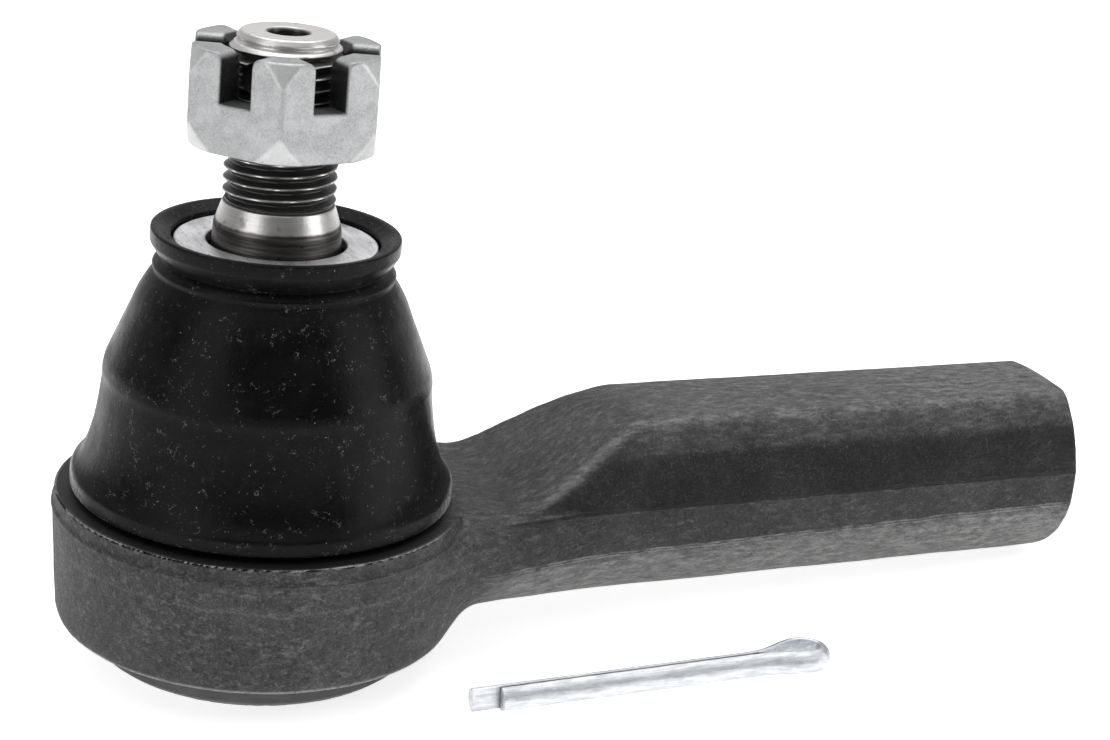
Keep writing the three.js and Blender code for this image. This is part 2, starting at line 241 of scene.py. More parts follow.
class Profile:
    """Signed distance to a closed 2-D outline, negative inside, with its corners softened."""

    PITCH = 0.06
    MARGIN = 3.0

    def __init__(self, outline, softness=6):
        points = np.array(outline, float)
        self.low = points.min(0) - self.MARGIN
        high = points.max(0) + self.MARGIN
        axes = [np.arange(a, b, self.PITCH) for a, b in zip(self.low, high)]
        u, v = np.meshgrid(*axes, indexing="ij")
        table = self.distance(points, u, v)
        for _ in range(softness):
            inner = table[1:-1]
            table[1:-1] = (table[:-2] + 2 * inner + table[2:]) / 4
            inner = table[:, 1:-1]
            table[:, 1:-1] = (table[:, :-2] + 2 * inner + table[:, 2:]) / 4
        self.table = table

    @staticmethod
    def distance(points, u, v):
        """Signed distance from each place (u, v) to the outline through the points."""
        nearest = np.full(u.shape, 1e9)
        inside = np.zeros(u.shape, bool)
        for (au, av), (bu, bv) in zip(points, np.roll(points, -1, 0)):
            du, dv = bu - au, bv - av
            t = np.clip(((u - au) * du + (v - av) * dv) / (du * du + dv * dv), 0, 1)
            nearest = np.minimum(nearest, np.hypot(u - au - t * du, v - av - t * dv))
            crosses = (av > v) != (bv > v)
            if dv:
                inside ^= crosses & (u < au + (v - av) * du / dv)
        return np.where(inside, -nearest, nearest)

    def __call__(self, u, v):
        u, v = np.broadcast_arrays(u, v)
        a = np.clip((u - self.low[0]) / self.PITCH, 0, self.table.shape[0] - 1.001)
        b = np.clip((v - self.low[1]) / self.PITCH, 0, self.table.shape[1] - 1.001)
        i, j = a.astype(int), b.astype(int)
        fa, fb = a - i, b - j
        near = self.table[i, j] * (1 - fa) + self.table[i + 1, j] * fa
        far = self.table[i, j + 1] * (1 - fa) + self.table[i + 1, j + 1] * fa
        return near * (1 - fb) + far * fb


CORNERS = [(i, j, k) for i in (0, 1) for j in (0, 1) for k in (0, 1)]
CELL_EDGES = [
    (a, b)
    for a in CORNERS
    for b in CORNERS
    if sum(b) == sum(a) + 1 and sum(np.abs(np.subtract(a, b))) == 1
]


def net_points(values, cells):
    """One point in each cell: the mean of the places where the surface crosses its edges."""
    total = np.zeros((len(cells), 3))
    hits = np.zeros(len(cells))
    for a, b in CELL_EDGES:
        at_a = values[tuple((cells + a).T)]
        at_b = values[tuple((cells + b).T)]
        crossed = (at_a < 0) != (at_b < 0)
        share = np.where(crossed, at_a / np.where(crossed, at_a - at_b, 1), 0)
        total += crossed[:, None] * (np.array(a) + share[:, None] * np.subtract(b, a))
        hits += crossed
    return cells + total / hits[:, None]


def net_faces(inside, index):
    """A quad across each grid edge whose ends are on different sides of the surface."""
    faces = []
    for axis in range(3):
        u, v = (axis + 1) % 3, (axis + 2) % 3
        first = np.take(inside, range(inside.shape[axis] - 1), axis)
        second = np.take(inside, range(1, inside.shape[axis]), axis)
        edges = np.argwhere(first != second)
        room = (edges[:, u] > 0) & (edges[:, v] > 0)
        room &= (edges[:, u] < index.shape[u]) & (edges[:, v] < index.shape[v])
        edges = edges[room]
        step_u, step_v = np.eye(3, dtype=int)[u], np.eye(3, dtype=int)[v]
        ring = [edges - step_u - step_v, edges - step_v, edges, edges - step_u]
        quads = np.stack([index[tuple(cell.T)] for cell in ring], 1)
        outward = first[tuple(edges.T)]
        quads[~outward] = quads[~outward][:, ::-1]
        faces.append(quads)
    return np.concatenate(faces)


def slopes(field, points, reach=0.04):
    """The field's slope along each axis at the points."""
    made = []
    for axis in range(3):
        step = np.eye(3)[axis] * reach
        made.append((field(*(points + step).T) - field(*(points - step).T)) / (2 * reach))
    return np.stack(made, 1)


def net(name, field, low, high, step, look, marks=None):
    """A mesh over the zero surface of a field, its points pulled onto the surface.
    Marks are named functions of place whose values the material reads."""
    axes = [np.arange(a - 2 * step, b + 3 * step, step) for a, b in zip(low, high)]
    y, z = np.meshgrid(axes[1], axes[2], indexing="ij")
    values = np.stack([field(np.full(y.shape, x), y, z) for x in axes[0]])
    inside = values < 0
    u, v, w = (side - 1 for side in inside.shape)
    count = sum(inside[i : u + i, j : v + j, k : w + k].astype(int) for i, j, k in CORNERS)
    cells = np.argwhere((count > 0) & (count < 8))
    index = np.full(count.shape, -1)
    index[tuple(cells.T)] = np.arange(len(cells))
    points = net_points(values, cells) * step + [axis[0] for axis in axes]
    for _ in range(4):
        slope = slopes(field, points)
        length = np.maximum((slope**2).sum(1), 0.1)
        move = field(*points.T)[:, None] * slope / length[:, None]
        points = points - np.clip(move, -step / 2, step / 2)
    slope = slopes(field, points)
    normals = slope / np.maximum(np.linalg.norm(slope, axis=1), 1e-6)[:, None]
    made = add_mesh(name, points, net_faces(inside, index).tolist(), look, normals)
    for mark, value in (marks or {}).items():
        held = made.data.attributes.new(mark, "FLOAT", "POINT")
        held.data.foreach_set("value", value(*points.T).astype(np.float32))
    return made


# ---- materials ----
class Look:
    """A procedural material: one Principled shader and the node chains that drive it.
    The plain metallic and roughness stand where no chain drives the socket."""

    def __init__(self, name, metallic, roughness, **values):
        self.material = bpy.data.materials.new(name)
        self.material.use_nodes = True
        self.tree = self.material.node_tree
        self.shader = self.tree.nodes["Principled BSDF"]
        self.set("Metallic", metallic)
        self.set("Roughness", roughness)
        for socket, value in values.items():
            self.set(socket.replace("_", " "), value)
        coordinates = self.add("ShaderNodeTexCoord")
        self.normal = coordinates.outputs["Normal"]
        self.place = self.add("ShaderNodeVectorMath", operation="SCALE").outputs[0]
        self.link(coordinates.outputs["Object"], self.place.node.inputs[0])
        self.place.node.inputs["Scale"].default_value = 1 / MM
        self.bumped = None

    def add(self, kind, **settings):
        made = self.tree.nodes.new(kind)
        for key, value in settings.items():
            setattr(made, key, value)
        return made

    def link(self, source, target):
        self.tree.links.new(source, target)

    def feed(self, target, value):
        if isinstance(value, bpy.types.NodeSocket):
            self.link(value, target)
        elif isinstance(value, tuple) and len(value) == 3 and len(target.default_value) == 4:
            target.default_value = (*value, 1.0)
        else:
            target.default_value = value

    def set(self, socket, value):
        self.feed(self.shader.inputs[socket], value)

    def math(self, operation, first, *others):
        """An operation on one value, or on several taken in turn from the left."""
        for other in others or (0.0,):
            made = self.add("ShaderNodeMath", operation=operation)
            self.feed(made.inputs[0], first)
            self.feed(made.inputs[1], other)
            first = made.outputs[0]
        return first

    def times(self, *values):
        return self.math("MULTIPLY", *values)

    def plus(self, *values):
        return self.math("ADD", *values)

    def minus(self, *values):
        return self.math("SUBTRACT", *values)

    def most(self, *values):
        return self.math("MAXIMUM", *values)

    def away(self, value, centre):
        """How far a value lies from a centre."""
        return self.math("ABSOLUTE", self.minus(value, centre))

    def axis(self, source, letter):
        made = self.add("ShaderNodeSeparateXYZ")
        self.link(source, made.inputs[0])
        return made.outputs[letter]

    def radius(self):
        """Distance from the stud's axis in millimetres."""
        made = self.add("ShaderNodeVectorMath", operation="MULTIPLY")
        self.link(self.place, made.inputs[0])
        made.inputs[1].default_value = (1, 1, 0)
        length = self.add("ShaderNodeVectorMath", operation="LENGTH")
        self.link(made.outputs[0], length.inputs[0])
        return length.outputs["Value"]

    def attribute(self, name):
        made = self.add("ShaderNodeAttribute", attribute_name=name)
        return made.outputs["Fac"]

    def stretched(self, scale):
        """The place in millimetres, scaled along each axis."""
        made = self.add("ShaderNodeVectorMath", operation="MULTIPLY")
        self.link(self.place, made.inputs[0])
        made.inputs[1].default_value = scale
        return made.outputs[0]

    def noise(self, scale, detail=4.0, rough=0.55, stretch=(1, 1, 1)):
        """Noise whose features are about 1 / scale millimetres."""
        made = self.add("ShaderNodeTexNoise")
        self.link(self.stretched(stretch), made.inputs["Vector"])
        made.inputs["Scale"].default_value = scale
        made.inputs["Detail"].default_value = detail
        made.inputs["Roughness"].default_value = rough
        return made.outputs["Fac"]

    def specks(self, scale, size, stretch=(1, 1, 1)):
        """Scattered dots: 1 inside a dot and 0 between."""
        made = self.add("ShaderNodeTexVoronoi", feature="F1")
        self.link(self.stretched(stretch), made.inputs["Vector"])
        made.inputs["Scale"].default_value = scale
        return self.band(made.outputs["Distance"], size, size * 0.6)

    def band(self, value, start, end):
        """0 before start and 1 after end, eased between."""
        made = self.add("ShaderNodeMapRange", interpolation_type="SMOOTHSTEP")
        self.feed(made.inputs["Value"], value)
        made.inputs["From Min"].default_value = start
        made.inputs["From Max"].default_value = end
        return made.outputs["Result"]

    def mix(self, share, a, b):
        """The colour a where the share is 0, and b where it is 1."""
        made = self.add("ShaderNodeMix", data_type="RGBA")
        self.feed(made.inputs[0], share)
        self.feed(made.inputs[6], a)
        self.feed(made.inputs[7], b)
        return made.outputs[2]

    def blend(self, share, a, b):
        """The number a where the share is 0, and b where it is 1."""
        made = self.add("ShaderNodeMix", data_type="FLOAT")
        self.feed(made.inputs[0], share)
        self.feed(made.inputs[2], a)
        self.feed(made.inputs[3], b)
        return made.outputs[0]

    def bump(self, height, depth, strength=1.0):
        """Adds relief of the given depth in millimetres."""
        made = self.add("ShaderNodeBump")
        made.inputs["Strength"].default_value = strength
        made.inputs["Distance"].default_value = depth * MM
        self.link(height, made.inputs["Height"])
        if self.bumped:
            self.link(self.bumped, made.inputs["Normal"])
        self.bumped = made.outputs[0]
        self.link(self.bumped, self.shader.inputs["Normal"])


def forging_places(look):
    """Where a point lies on the forging: its coordinates and the regions that differ."""
    at = SimpleNamespace()
    at.height = look.axis(look.place, "Z")
    at.along = look.axis(look.place, "X")
    at.radius = look.radius()
    at.level = look.plus(at.height, look.times(look.noise(0.35, 4), 0.5))
    at.crease = look.plus(look.times(at.along, CREASE_RISE), CREASE_Z)
    at.on_shank = look.band(at.along, *NECK_X)
    at.on_top = look.band(look.axis(look.normal, "Z"), 0.4, 0.92)
    at.below_crease = look.band(look.minus(at.crease, at.level), -0.6, 0.8)
    at.below_parting = look.band(at.level, PARTING_Z + 0.35, PARTING_Z + 0.05)
    return at


def forging_grain(look):
    """The noises that the forging's tones and relief share, coarse to fine."""
    return SimpleNamespace(
        clouds=look.noise(0.16, 6, 0.66),
        fibres=look.noise(1.3, 9, 0.78, (0.35, 1, 1)),
        leather=look.noise(1.4, 9, 0.75),
        flecks=look.noise(3.0, 8, 0.8),
        grit=look.noise(4.6, 7, 0.75),
    )


def rubbed_and_lit_share(look, at):
    """How much pale tone shows, most on the lower facet, the top and the edges: rubbed metal, with
    painted light where these faces see the floor and the lamps, and painted highlight along the
    edges.
    """
    # Painted light: the share rises below the parting line and the crease, where the faces turn down
    # to the bright floor.
    rubbed_and_lit = look.blend(at.below_parting, 0.0, 0.26)
    rubbed_and_lit = look.blend(at.below_crease, rubbed_and_lit, 0.95)
    rubbed_and_lit = look.blend(at.on_shank, 0.46, rubbed_and_lit)
    # Painted light on faces that turn up, rising towards the shank's end.
    on_top = look.blend(look.band(at.along, 40.0, 46.0), 0.62, 1.0)
    rubbed_and_lit = look.blend(at.on_top, rubbed_and_lit, on_top)
    # The edge mark adds painted highlight along the shank's top edges, with real rubs there.
    return look.most(rubbed_and_lit, look.times(look.attribute("edge"), 0.8))


def mill_scale(look, at, grain, rubbed_and_lit):
    """The rough skin: a dark base with pale streaks and flecks, painted highlight on the grit's
    ridges, and black painted shade in the hollows of the leather relief and on the shank's upper
    sides.
    """
    clouds = look.band(grain.clouds, 0.36, 0.64)
    tone = look.mix(clouds, (0.016, 0.0155, 0.016), (0.045, 0.044, 0.044))
    not_low = look.minus(1.0, at.below_parting)
    # Painted shade on the shank's sides above the parting line, away from the top and the floor.
    shaded_upper_side = look.times(at.on_shank, not_low, look.minus(1.0, at.on_top))
    tone = look.mix(look.times(shaded_upper_side, 0.5), tone, (0.009, 0.0085, 0.009))
    # Pale tone from the share of rubs and painted light.
    tone = look.mix(look.times(rubbed_and_lit, 0.6), tone, (0.20, 0.198, 0.196))
    streaks = look.times(look.band(grain.fibres, 0.5, 0.66), rubbed_and_lit, 0.8)
    tone = look.mix(streaks, tone, (0.46, 0.455, 0.45))
    pale = look.times(look.band(grain.flecks, 0.54, 0.6), look.blend(rubbed_and_lit, 0.16, 0.75))
    tone = look.mix(pale, tone, (0.34, 0.337, 0.333))
    # Painted shade in the hollows of the leather relief that the bump draws.
    shaded_hollows = look.times(look.band(grain.leather, 0.5, 0.38), look.blend(at.on_shank, 0.6, 0.4))
    tone = look.mix(shaded_hollows, tone, (0.012, 0.012, 0.012))
    # Painted highlight on the ridges of the grit relief that the bump draws.
    lit_ridges = look.times(look.band(grain.grit, 0.5, 0.66), look.blend(rubbed_and_lit, 0.2, 0.4))
    return look.mix(lit_ridges, tone, (0.32, 0.315, 0.31))


def lit_patches_and_wrinkles(look, at, grain, rubbed_and_lit, tone):
    """Adds painted light as pale patches on the lower facet facing the floor, on the top facing up
    and as painted highlight on its edges, and hair-like wrinkles.
    """
    # Painted light: the lower facet as lit by the floor, the top as lit from above, the edges as
    # painted highlight.
    low = look.times(at.below_crease, at.on_shank, 0.52)
    lit_top_share = look.blend(look.band(at.along, 38.0, 50.0), 0.16, 0.34)
    lit_top_share = look.blend(look.band(at.along, 62.0, 95.0), lit_top_share, 0.62)
    top = look.times(at.on_top, lit_top_share)
    patches = look.most(low, top, look.times(look.attribute("edge"), 0.6))
    patches = look.times(patches, look.band(grain.fibres, 0.34, 0.6))
    tone = look.mix(patches, tone, (0.48, 0.475, 0.47))
    wrinkles = look.away(look.noise(0.8, 5, 0.6, (0.6, 1, 1)), 0.5)
    wrinkles = look.times(look.band(wrinkles, 0.014, 0.0), look.band(grain.clouds, 0.45, 0.6))
    wrinkles = look.times(wrinkles, look.blend(rubbed_and_lit, 0.15, 0.5))
    return look.mix(wrinkles, tone, (0.5, 0.495, 0.49))


def die_lines(look, at, grain, parting, tone):
    """Adds two pale lines along the lower crease, the parting line and a faint girdle."""
    pair = look.away(look.away(look.minus(at.level, at.crease), 0.25), 0.17)
    pair = look.times(look.band(pair, 0.18, 0.02), at.on_shank)
    pair = look.times(pair, look.band(grain.fibres, 0.36, 0.6), 0.55)
    tone = look.mix(pair, tone, (0.55, 0.55, 0.55))
    tone = look.mix(look.times(parting, 0.45), tone, (0.008, 0.008, 0.008))
    girdle = look.band(look.away(at.level, GIRDLE_Z), 0.35, 0.05)
    girdle = look.times(girdle, look.band(grain.flecks, 0.4, 0.6))
    girdle = look.times(girdle, look.minus(0.35, look.times(at.on_shank, 0.35)))
    return look.mix(girdle, tone, (0.3, 0.3, 0.3))


def cut_faces(look, at):
    """The shares of the faced top, of the turned boss and of the shank's cut end and bore."""
    top = look.band(at.height, TOP_FACE_Z - 0.3, TOP_FACE_Z - 0.15)
    top = look.times(top, look.band(at.radius, FACING_R + 0.04, FACING_R - 0.04))
    top = look.times(top, look.band(at.along, 20.0, 15.0))
    boss = look.band(at.height, FOOT_Z + 0.04, FOOT_Z - 0.04)
    end = look.band(at.along, SHANK_END_X - 0.1, SHANK_END_X - 0.03)
    bored = look.band(at.along, ROD_BORE_START_X - 0.5, ROD_BORE_START_X)
    end = look.most(end, look.times(bored, look.attribute("bore")))
    return top, boss, end


def cut_metal(look, at, grain, boss, end):
    """The cut faces' tone: near black round the boot, partly painted shadow of its flange, grey on
    the boss, bright at the end.
    """
    rings = look.noise(5.0, 4, 0.5, (0.02, 0.02, 1))
    # Dark oxide on the faced top with painted shadow of the boot, darkest inside 21.5 mm under its
    # flange.
    tone = look.mix(look.band(rings, 0.4, 0.6), (0.012, 0.011, 0.0105), (0.04, 0.037, 0.035))
    tone = look.mix(look.band(at.radius, 21.7, 21.5), tone, (0.008, 0.008, 0.008))
    boss_tone = look.mix(look.noise(0.5, 5), (0.045, 0.045, 0.045), (0.115, 0.115, 0.115))
    tone = look.mix(boss, tone, boss_tone)
    saw_marks = look.band(look.noise(1.2, 6, 0.6, (1, 1, 0.1)), 0.38, 0.62)
    end_tone = look.mix(saw_marks, (0.22, 0.217, 0.213), (0.40, 0.395, 0.39))
    tone = look.mix(end, tone, end_tone)
    rim = look.times(look.band(at.radius, 21.8, 21.88), look.band(at.radius, 22.16, 22.1))
    rim = look.times(rim, look.band(at.height, TOP_FACE_Z - 0.26, TOP_FACE_Z - 0.2))
    rim = look.times(rim, look.band(grain.flecks, 0.36, 0.6), look.band(at.along, 18.0, 12.0))
    return look.mix(rim, tone, (0.30, 0.29, 0.28))


def forged_steel():
    """Scaled dark forging with pale rubs and painted light, and cut faces round the boot, boss and
    end.
    """
    look = Look("forged_steel", 0.6, 0.5)
    at = forging_places(look)
    grain = forging_grain(look)
    rubbed_and_lit = rubbed_and_lit_share(look, at)
    parting = look.band(look.away(at.level, PARTING_Z + 0.2), 0.24, 0.04)
    parting = look.times(parting, at.on_shank)
    tone = mill_scale(look, at, grain, rubbed_and_lit)
    tone = lit_patches_and_wrinkles(look, at, grain, rubbed_and_lit, tone)
    tone = die_lines(look, at, grain, parting, tone)
    top, boss, end = cut_faces(look, at)
    machined = look.most(top, boss, end)
    tone = look.mix(machined, tone, cut_metal(look, at, grain, boss, end))
    foot = look.band(at.height, FOOT_Z + 0.85, FOOT_Z + 0.45)
    foot = look.times(foot, look.band(at.radius, 20.0, 20.4))
    foot = look.times(foot, look.band(grain.flecks, 0.3, 0.6), 0.85)
    look.set("Base Color", look.mix(foot, tone, (0.6, 0.59, 0.58)))
    rough = look.blend(look.band(grain.grit, 0.35, 0.65), 0.36, 0.6)
    look.set("Roughness", look.blend(machined, rough, 0.5))
    look.set("Metallic", look.blend(machined, 0.55, look.blend(boss, 0.4, 0.7)))
    look.bump(look.times(grain.leather, look.minus(1.0, machined)), 1.3)
    look.bump(look.times(grain.grit, look.blend(machined, 1.0, 0.06)), 0.8)
    look.bump(look.times(parting, -1.0), 0.2)
    return look.material


def plate_steel():
    """Pressed steel with a dull coating, fine streaks and dark flecks."""
    look = Look("plate_steel", 0.9, 0.4)
    streaks = look.noise(0.9, 6, 0.7, (1, 0.22, 1))
    stains = look.band(look.noise(1.7, 6, 0.7, (1, 0.35, 1)), 0.57, 0.66)
    dots = look.most(look.specks(1.1, 0.12), look.specks(0.7, 0.1, (1, 0.3, 1)))
    flecks = look.most(dots, look.times(stains, 0.7))
    tone = look.mix(look.band(streaks, 0.3, 0.65), (0.68, 0.68, 0.69), (0.98, 0.98, 1.0))
    look.set("Base Color", look.mix(look.times(flecks, 0.7), tone, (0.08, 0.08, 0.08)))
    look.set("Roughness", look.blend(streaks, 0.32, 0.55))
    look.bump(streaks, 0.05)
    return look.material


def spring_steel():
    """Hardened strip, blued a little, with rolling marks."""
    look = Look("spring_steel", 0.95, 0.35)
    marks = look.noise(1.4, 5, 0.6, (0.15, 1, 1))
    look.set("Base Color", look.mix(marks, (0.16, 0.17, 0.20), (0.42, 0.42, 0.44)))
    look.set("Roughness", look.blend(marks, 0.28, 0.45))
    look.bump(marks, 0.03)
    return look.material


def seat_polymer():
    """Moulded acetal, faintly mottled and greasy."""
    look = Look("seat_polymer", 0.0, 0.42, Subsurface_Weight=0.05)
    mottle = look.noise(0.35, 4, 0.6)
    look.set("Base Color", look.mix(mottle, (0.62, 0.60, 0.53), (0.82, 0.80, 0.74)))
    look.set("Roughness", look.blend(mottle, 0.3, 0.55))
    look.bump(look.noise(2.0, 4), 0.03)
    return look.material


def rubber_marks(look, fine):
    """Dust in loose patches, single motes and short hair scratches."""
    patches = look.band(look.noise(0.11, 3, 0.6), 0.42, 0.6)
    dust = look.band(look.noise(4.5, 3, 0.6), 0.67, 0.72)
    dust = look.times(dust, look.blend(patches, 0.25, 1.0))
    motes = look.times(look.specks(0.9, 0.06), look.band(fine, 0.42, 0.55))
    hair = look.band(look.away(look.noise(1.1, 3, 0.7), 0.5), 0.012, 0.0)
    hair = look.times(hair, look.band(look.noise(0.7, 4, 0.7), 0.57, 0.62))
    return look.most(look.times(dust, 0.4), look.times(hair, 0.6), motes)


def boot_rubber():
    """Black moulded rubber with a satin skin, a painted sheen at grazing angles on the flange's
    edge, dust and small scratches.
    """
    look = Look("boot_rubber", 0.0, 0.34, Specular_IOR_Level=0.09)
    haze = look.noise(0.16, 5, 0.62)
    fine = look.noise(3.2, 4, 0.6)
    marks = rubber_marks(look, fine)
    skin = look.mix(haze, (0.002, 0.002, 0.002), (0.006, 0.006, 0.006))
    film = look.times(look.band(look.noise(0.5, 7, 0.7), 0.5, 0.7), 0.012)
    skin = look.mix(film, skin, (0.2, 0.2, 0.2))
    grazing = look.add("ShaderNodeLayerWeight").outputs["Facing"]
    # Painted sheen where the flange's edge is seen at grazing angles, broken by noise.
    flange_sheen = look.times(look.band(look.radius(), *FLANGE_SHEEN_R), look.band(grazing, 0.55, 0.9))
    flange_sheen = look.times(flange_sheen, look.band(fine, 0.3, 0.6))
    skin = look.mix(flange_sheen, skin, (0.3, 0.3, 0.31))
    look.set("Base Color", look.mix(marks, skin, (0.3, 0.3, 0.3)))
    satin = look.blend(look.band(haze, 0.35, 0.65), 0.24, 0.4)
    look.set("Roughness", look.plus(satin, look.times(marks, 0.3)))
    look.bump(fine, 0.03)
    look.bump(look.noise(0.2, 3), 0.25, 0.5)
    return look.material


def turned_steel():
    """Bare stud steel: bright cone, oiled band below it, dark thread with bright crests."""
    look = Look("turned_steel", 0.95, 0.3)
    height = look.axis(look.place, "Z")
    radius = look.radius()
    rings = look.noise(4.0, 5, 0.6, (0.04, 0.04, 1))
    stains = look.noise(0.45, 6, 0.68)
    bright = look.mix(rings, (0.50, 0.49, 0.48), (0.78, 0.77, 0.76))
    stained = look.times(look.band(stains, 0.56, 0.7), 0.6)
    bright = look.mix(stained, bright, (0.14, 0.12, 0.11))
    film = look.mix(look.band(rings, 0.36, 0.62), (0.07, 0.064, 0.06), (0.15, 0.14, 0.135))
    film = look.mix(look.band(stains, 0.6, 0.68), film, (0.02, 0.018, 0.017))
    edge = look.plus(height, look.times(stains, 0.5))
    oiled = look.band(edge, CONE_START_Z + 0.4, CONE_START_Z + 0.1)
    tone = look.mix(oiled, bright, film)
    threaded = look.band(height, THREAD_Z[0] - 0.3, THREAD_Z[0] - 0.1)
    threaded = look.times(threaded, look.band(height, THREAD_Z[1] - 1.6, THREAD_Z[1] - 1.75))
    valley = look.times(threaded, look.band(radius, THREAD_R - 0.04, THREAD_R - 0.16))
    tone = look.mix(valley, tone, look.mix(stains, (0.006, 0.006, 0.006), (0.05, 0.048, 0.046)))
    # Painted shade in the centre hole of the stud's top.
    hole = look.times(look.band(radius, 2.35, 2.15), 0.92)
    look.set("Base Color", look.mix(hole, tone, (0.01, 0.01, 0.01)))
    look.set("Metallic", look.blend(valley, 0.95, 0.5))
    facing_up = look.axis(look.normal, "Z")
    end = look.times(look.band(facing_up, 0.8, 0.95), 0.2)
    look.set("Roughness", look.plus(look.blend(stains, 0.24, 0.42), end))
    look.bump(rings, 0.03)
    look.bump(stains, 0.05)
    return look.material


def zinc_plate():
    """Satin zinc over forged flats: soft mottle, dull spots, painted highlight on the coned corners
    and painted shade in the slots and bore.
    """
    look = Look("zinc_plate", 0.72, 0.3)
    mottle = look.noise(0.5, 6, 0.65)
    grain = look.noise(5.0, 4, 0.7)
    spots = look.most(look.specks(0.9, 0.14), look.band(look.noise(2.4, 7, 0.75), 0.58, 0.7))
    tone = look.mix(look.band(mottle, 0.36, 0.64), (0.31, 0.317, 0.32), (0.40, 0.406, 0.41))
    sparkle = look.times(look.band(grain, 0.42, 0.6), 0.3)
    tone = look.mix(sparkle, tone, (0.62, 0.625, 0.63))
    # Painted highlight on the coned corners.
    tone = look.mix(look.times(look.attribute("corner"), 0.35), tone, (0.8, 0.8, 0.8))
    tone = look.mix(look.times(spots, 0.4), tone, (0.22, 0.22, 0.22))
    # Painted shade on the slot walls and in the bore.
    slot_shade = look.times(look.attribute("slot_shade"), look.blend(spots, 0.93, 0.75))
    look.set("Base Color", look.mix(slot_shade, tone, (0.012, 0.012, 0.013)))
    look.set("Roughness", look.blend(look.noise(1.3, 5, 0.6), 0.36, 0.5))
    look.bump(mottle, 0.1)
    look.bump(grain, 0.04)
    return look.material


def zinc_wire():
    """Drawn zinc-coated wire, bluish white and satin, with draw marks and grey rubs."""
    look = Look("zinc_wire", 0.9, 0.45)
    draws = look.noise(2.6, 6, 0.65, (0.12, 1, 1))
    mottle = look.noise(0.9, 7, 0.7, (0.6, 1, 1))
    tone = look.mix(look.band(draws, 0.38, 0.62), (0.56, 0.58, 0.61), (0.76, 0.78, 0.81))
    rubs = look.times(look.band(mottle, 0.5, 0.68), 0.4)
    tone = look.mix(rubs, tone, (0.42, 0.425, 0.43))
    # Painted shade along the seam where the legs lie together.
    seam_shade = look.times(look.attribute("seam_shade"), 0.7)
    look.set("Base Color", look.mix(seam_shade, tone, (0.1, 0.1, 0.1)))
    look.set("Roughness", look.blend(mottle, 0.36, 0.55))
    look.bump(draws, 0.06)
    look.bump(mottle, 0.1)
    return look.material


def floor_paint():
    """White table that glows a little, so that it stays white under soft light."""
    look = Look("floor_paint", 0.0, 0.7)
    look.set("Base Color", look.mix(look.noise(0.02, 3), (0.88, 0.88, 0.88), (0.92, 0.92, 0.92)))
    look.set("Emission Color", (1.0, 1.0, 1.0))
    look.set("Emission Strength", 0.72)
    return look.material


# ---- housing ----
BODY = Profile([
    (-5.0, BASE_Z + 0.7), (13.2, BASE_Z + 0.7), (13.2, BASE_Z), (16.7, BASE_Z), (17.8, BASE_Z + 0.9),
    (17.8, FOOT_Z), (20.6, FOOT_Z), (21.4, FOOT_Z + 0.4), (21.75, FOOT_Z + 1.4),
    (22.3, PARTING_Z - 0.1), (22.05, PARTING_Z), (22.1, 31.0), (-5.0, 31.0),
])
COLLAR = Profile([
    (MOUTH_R, BALL_Z), (18.0, BALL_Z), (18.0, TOP_FACE_Z), (COLLAR_R, TOP_FACE_Z),
    (COLLAR_R, 22.0), (12.5, COLLAR_TOP_Z), (MOUTH_R, COLLAR_TOP_Z),
])
BALL_BORE = Profile([
    (-5.0, BASE_Z + 0.7), (14.9, BASE_Z + 0.7), (14.9, 2.9), (BORE_R, 2.9), (BORE_R, BALL_Z),
    (13.6, 20.4), (12.3, 23.7), (10.4, 26.2), (MOUTH_R, COLLAR_TOP_Z), (MOUTH_R, 34.0),
    (-5.0, 34.0),
])
SHANK_HALF = [
    (2.0, 3.6), (5.0, 4.3), (7.6, 5.9), (9.5, 8.0), (10.6, 10.1), (11.1, 12.2), (11.1, 14.2),
    (10.95, 16.3), (10.2, 18.9), (8.8, 21.8), (7.4, 23.7), (6.3, 25.0), (5.8, 26.2), (5.0, 31.0),
]
SHANK = Profile([*SHANK_HALF, *[(-u, v) for u, v in reversed(SHANK_HALF)]], softness=120)


def flash(z):
    """The trimmed ridge that the dies leave along the parting line."""
    return FLASH_HEIGHT * np.exp(-(((z - PARTING_Z) / FLASH_WIDTH) ** 2))


def waves(x, y, z):
    """Slow unevenness of a hammered surface."""
    slow = np.sin(0.31 * x + 0.9) * np.sin(0.43 * y + 0.27 * z + 0.4)
    quick = np.sin(0.92 * x + 0.35 * z) * np.sin(1.07 * z - 0.6 * y + 1.3)
    return 0.06 * slow + 0.035 * quick


def shank_sides(x, y, z):
    """The shank's section, spread below where it joins the body and tapered to its end."""
    low = 1 - smooth_step(z, 14.5, 18.5)
    spread = 1.0 + 0.3 * (1 - smooth_step(x, 15.0, 38.0)) * low
    taper = 1 - 0.045 * smooth_step(x, 30.0, SHANK_END_X)
    return SHANK(y / spread / taper, z) - flash(z)


def forging_top(x, y, z):
    """Height above the flat head and the ramp that climbs to the shank's crowned top."""
    ramp = RAMP_Z[0] + (RAMP_Z[1] - RAMP_Z[0]) * smooth_step(x, *RAMP_X)
    dip = DIP_DEPTH * np.exp(-(((x - DIP_X) / DIP_REACH) ** 2))
    crown = (0.25 - 0.008 * y * y) * smooth_step(x, 26.0, 36.0)
    return z - ramp + dip - crown


def shank_edge(x, y, z):
    """1 along the edges between the shank's top and sides, fading over about a millimetre."""
    apart = shank_sides(x, y, z) - forging_top(x, y, z)
    return np.exp(-((apart / 0.7) ** 2)) * smooth_step(x, 24.0, 30.0)


